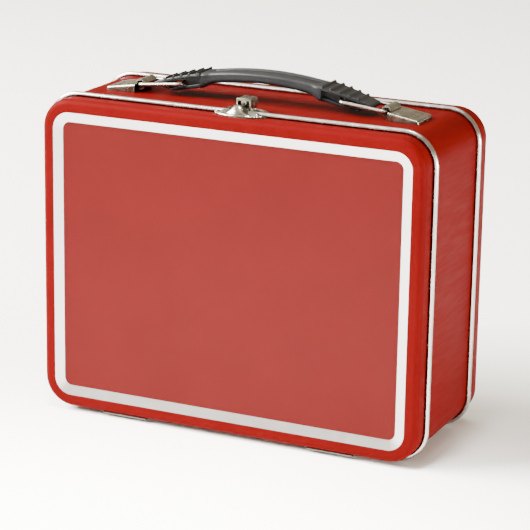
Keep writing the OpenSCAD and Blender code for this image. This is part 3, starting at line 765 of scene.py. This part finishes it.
def half_plate(bm, half, y_edge, reach, height):
    """Half oval plate as a closed solid: a polar field of heights on a flat underside."""
    turns, steps = 128, 40
    centre = Vector((LATCH_PIN.x, y_edge, WALL_TOP))
    top, low = [], []
    for k in range(turns + 1):
        a = PI * k / turns
        scallop = 1 - 0.05 * abs(math.sin(8 * a)) * abs(math.cos(a))
        rim = Vector((PLATE_HALF_W * math.cos(a), half * reach * math.sin(a), 0)) * scallop
        row = []
        for i in range(steps + 1):
            rho = i / steps
            p = centre + rim * rho
            fade = 1 if i < steps else 0.35
            row.append(bm.verts.new((p.x, p.y, WALL_TOP + height(p.x, p.y, rho) * fade)))
        top.append(row)
        low.append([bm.verts.new((v.co.x, v.co.y, WALL_TOP + 0.02 * MM)) for v in row])
    for rows in (top, low):
        for a, b in zip(rows, rows[1:]):
            for i in range(steps):
                bm.faces.new((a[i], a[i + 1], b[i + 1], b[i]))
    for k in range(turns):
        bm.faces.new((top[k][-1], top[k + 1][-1], low[k + 1][-1], low[k][-1]))
    for k in (0, -1):
        for i in range(steps):
            bm.faces.new((top[k][i], top[k][i + 1], low[k][i + 1], low[k][i]))
    bmesh.ops.remove_doubles(bm, verts=bm.verts, dist=1e-7)


def box_between(bm, low, high, bevel=0.2 * MM):
    """Box with softly broken edges."""
    part = bmesh.new()
    size = Vector(high) - Vector(low)
    middle = (Vector(high) + Vector(low)) / 2
    bmesh.ops.create_cube(part, size=1, matrix=Matrix.Translation(middle) @ Matrix.Diagonal((*size, 1)))
    bmesh.ops.bevel(part, geom=part.edges[:], offset=bevel, segments=3, profile=0.5, affect="EDGES")
    mesh = bpy.data.meshes.new("part")
    part.to_mesh(mesh)
    part.free()
    bm.from_mesh(mesh)
    bpy.data.meshes.remove(mesh)


def side_prism(bm, outline, x0, x1):
    """Prism from x0 to x1 of an outline in Y and Z round the latch pin."""
    add_rings(bm, [[Vector((x, LATCH_PIN.y + y, LATCH_PIN.z + z)) for y, z in outline] for x in (x0, x1)])


def build_keeper():
    """Domed plate on the lid, with the tongue and its catch rib."""
    bm = bmesh.new()
    half_plate(bm, -1, SPLIT_FRONT, KEEPER_REACH, keeper_height)
    half_w, low, high = 2.4 * MM, WALL_TOP + 3.2 * MM, WALL_TOP + 4 * MM
    x, end = LATCH_PIN.x, LATCH_PIN.y - 1.9 * MM
    box_between(bm, (x - half_w, SPLIT_FRONT - 2.2 * MM, low), (x + half_w, end, high))
    rib = [Vector((x + k * half_w, end - 0.8 * MM, high)) for k in (-1, -0.5, 0, 0.5, 1)]
    add_rings(bm, tube_rings(rib, 0.75 * MM, 20))
    finish_mesh("latch_keeper_plate", bm, [PLATE], "lid", ["latch_keeper"], 45)


def build_base():
    """Plate on the case, with the two ears that hold the pin."""
    bm = bmesh.new()
    half_plate(bm, 1, SPLIT_BACK, BASE_REACH, base_height)
    foot = WALL_TOP - LATCH_PIN.z + 0.1 * MM
    outline = arc(0, 0, EAR_R, 0, 180, 14) + [(-EAR_R, foot), (EAR_R, foot)]
    for side in (-1, 1):
        x = LATCH_PIN.x + side * 1.95 * MM
        side_prism(bm, outline, x, x + side * 0.6 * MM)
    finish_mesh("latch_base_plate", bm, [PLATE], "case", ["latch_base"], 45)


def lever_section(inset):
    """Upside-down channel of the lever at rest, across it, as (x, z) points round the pin."""
    r_out, r_in = 0.9 * MM, 0.2 * MM
    wide, top = LEVER_HALF_W - inset, LEVER_TOP - inset
    wide_in, top_in = LEVER_HALF_W - LEVER_SHEET, LEVER_TOP - LEVER_SHEET
    outer = [(wide, LEVER_FOOT)] + arc(wide - r_out, top - r_out, r_out, 0, 90, 8)
    inner = [(wide_in, LEVER_FOOT)] + arc(wide_in - r_in, top_in - r_in, r_in, 0, 90, 8)
    path = outer + [(-x, z) for x, z in reversed(outer)]
    return path + [(-x, z) for x, z in inner] + list(reversed(inner))


def build_lever_body():
    """Folded channel with its sides cut to shape and a hole for the pin."""
    stops = [(LEVER_FRONT, 0.14 * MM), (LEVER_FRONT + 0.06 * MM, 0.05 * MM), (LEVER_FRONT + 0.2 * MM, 0),
             (0, 0), (LEVER_BACK - 0.2 * MM, 0), (LEVER_BACK - 0.06 * MM, 0.05 * MM),
             (LEVER_BACK, 0.14 * MM)]
    bm = bmesh.new()
    add_rings(bm, [[LATCH_PIN + Vector((x, y, z)) for x, z in lever_section(inset)] for y, inset in stops])
    lever = finish_mesh("latch_lever_body", bm, [NICKEL], "lever", ["latch_lever"], 35)
    low, r_foot, past = -3.9 * MM, 3.6 * MM, 5 * MM
    behind = [(0, low)] + arc(0, 0, r_foot, -90, 0, 10) + [(r_foot, 0.4 * MM), (past, 1.1 * MM), (past, low)]
    before = [(-past, low), (-past, -2.1 * MM), (LEVER_FRONT, -2.1 * MM), (-3.0 * MM, -r_foot),
              (-2.9 * MM, low)]
    hole = arc(0, 0, 0.8 * MM, 0, 360, 28)[:-1]
    for outline in (behind, before, hole):
        cutter = bmesh.new()
        side_prism(cutter, outline, LATCH_PIN.x - 6 * MM, LATCH_PIN.x + 6 * MM)
        bmesh.ops.recalc_face_normals(cutter, faces=cutter.faces)
        cut_with(lever, cutter)
    lever.data.set_sharp_from_angle(angle=math.radians(35))


def build_lever_lip():
    """Turned-down front lip of the lever, and the hook behind the tongue."""
    r, sheet = 0.95 * MM, 0.65 * MM
    top, lip_low, broken = LEVER_TOP - 0.03 * MM, 1.9 * MM, 0.1 * MM
    outline = arc(LEVER_FRONT + r, top - r, r, 90, 180, 8)
    outline += [(LEVER_FRONT, lip_low + 2 * broken), (LEVER_FRONT + broken, lip_low),
                (LEVER_FRONT + sheet - broken, lip_low), (LEVER_FRONT + sheet, lip_low + 2 * broken)]
    outline += arc(LEVER_FRONT + r, top - r, r - sheet, 180, 90, 4)
    half = LEVER_HALF_W - 0.05 * MM
    lip = bmesh.new()
    side_prism(lip, outline, LATCH_PIN.x - half, LATCH_PIN.x + half)
    box_between(lip, LATCH_PIN + Vector((-1.3 * MM, LEVER_FRONT + 0.1 * MM, -0.5 * MM)),
                LATCH_PIN + Vector((1.3 * MM, LEVER_FRONT + 0.7 * MM, 2.4 * MM)), 0.15 * MM)
    finish_mesh("latch_lever_lip", lip, [NICKEL], "lever", smooth_angle=35)


build_keeper()
build_base()
build_lever_body()
build_lever_lip()

# ---- CAD nodes that are shown as they are ----

FINISH = {STEEL: ["front_rim_wire", "rear_rim_wire", "latch_pin", "latch_spring", "hinge_pin_left",
                  "hinge_pin_right", "lid_hinge_rivets", "body_hinge_rivets"],
          SHADE_DARK_STEEL: ["lid_hinge_leaf_left", "lid_hinge_leaf_right", "body_hinge_leaf_left",
                       "body_hinge_leaf_right"],
          NICKEL: ["keeper_rivets", "latch_base_rivets"]}
for material, names in FINISH.items():
    for name in names:
        node = frame["nodes"][name]
        node.data.materials.clear()
        node.data.materials.append(material)

# ---- stage ----

WORLD_COLOUR = (1.0, 0.85, 0.62, 1)
WORLD_STRENGTH = 0.62
SUN_AIM = (0.5, 0.16, -0.85)
SUN_COLOUR = (1, 0.97, 0.9)
BOX_MIDDLE = (0, 0, 0.09)       # where the area lights point
POOL_PLACE = (0.02, -0.3, 1.3)
CAMERA_YAW, CAMERA_PITCH, CAMERA_ROLL = 0.4335, 0.2797, 0.0166
CAMERA_LENS, CAMERA_SENSOR = 154.88, 36
CAMERA_PLACE = (0.49335, LID_FACE - 1.01693, WALL_LOW + 0.4176)


def studio_floor():
    """Plain pale floor that also makes the background."""
    bm = bmesh.new()
    bmesh.ops.create_grid(bm, x_segments=2, y_segments=2, size=14)
    mesh = bpy.data.meshes.new("floor")
    bm.to_mesh(mesh)
    bm.free()
    floor = bpy.data.objects.new("floor", mesh)
    bpy.context.scene.collection.objects.link(floor)
    n = Nodes("pale_floor")
    soft = n.noise(3, 3)
    n.set(Base_Color=n.mix(soft, (0.87, 0.855, 0.82), (0.88, 0.865, 0.835)), Roughness=0.7)
    n.bump([(n.noise(400, 3), 0.02, 0.05 * MM)])
    mesh.materials.append(n.material)


def area_light(name, place, size, power, colour):
    """Rectangular light turned to the middle of the box."""
    data = bpy.data.lights.new(name, "AREA")
    data.shape = "RECTANGLE"
    data.size, data.size_y = size
    data.energy = power
    data.color = colour
    light = bpy.data.objects.new(name, data)
    light.location = place
    light.rotation_euler = (Vector(BOX_MIDDLE) - Vector(place)).to_track_quat("-Z", "Y").to_euler()
    bpy.context.scene.collection.objects.link(light)


def studio_light():
    """Broad light from the upper left, a weak fill from the right and a pool on the floor in front."""
    world = bpy.data.worlds.new("studio")
    bpy.context.scene.world = world
    world.use_nodes = True
    back = world.node_tree.nodes["Background"]
    back.inputs["Color"].default_value = WORLD_COLOUR
    back.inputs["Strength"].default_value = WORLD_STRENGTH
    overhead = bpy.data.lights.new("overhead", "SUN")
    overhead.energy = 3.6
    overhead.angle = math.radians(95)
    overhead.color = SUN_COLOUR
    sun = bpy.data.objects.new("overhead", overhead)
    sun.rotation_euler = Vector(SUN_AIM).to_track_quat("-Z", "Y").to_euler()
    bpy.context.scene.collection.objects.link(sun)
    area_light("window", (-1.5, -0.7, 1.2), (1.3, 0.9), 425, (1, 0.975, 0.93))
    area_light("side_fill", (1.7, -0.25, 0.09), (1.2, 0.16), 115, (1, 0.95, 0.88))
    pool = bpy.data.lights.new("front_pool", "SPOT")
    pool.energy = 620
    pool.spot_size = math.radians(30)
    pool.spot_blend = 1
    pool.shadow_soft_size = 0.1
    spot = bpy.data.objects.new("front_pool", pool)
    spot.location = POOL_PLACE
    bpy.context.scene.collection.objects.link(spot)


def studio_camera():
    """Camera fitted to the straight edges of the case."""
    cy, sy = math.cos(CAMERA_YAW), math.sin(CAMERA_YAW)
    cp, sp = math.cos(CAMERA_PITCH), math.sin(CAMERA_PITCH)
    forward = Vector((-sy * cp, cy * cp, -sp))
    right = Vector((cy, sy, 0))
    up = right.cross(forward)
    cr, sr = math.cos(CAMERA_ROLL), math.sin(CAMERA_ROLL)
    right, up = right * cr + up * sr, up * cr - right * sr
    data = bpy.data.cameras.new("camera")
    data.sensor_width = CAMERA_SENSOR
    data.lens = CAMERA_LENS
    data.clip_start, data.clip_end = 0.05, 60
    camera = bpy.data.objects.new("camera", data)
    turn = Matrix((right, up, -forward)).transposed().to_4x4()
    camera.matrix_world = Matrix.Translation(CAMERA_PLACE) @ turn
    bpy.context.scene.collection.objects.link(camera)
    bpy.context.scene.camera = camera


studio_floor()
studio_light()
studio_camera()
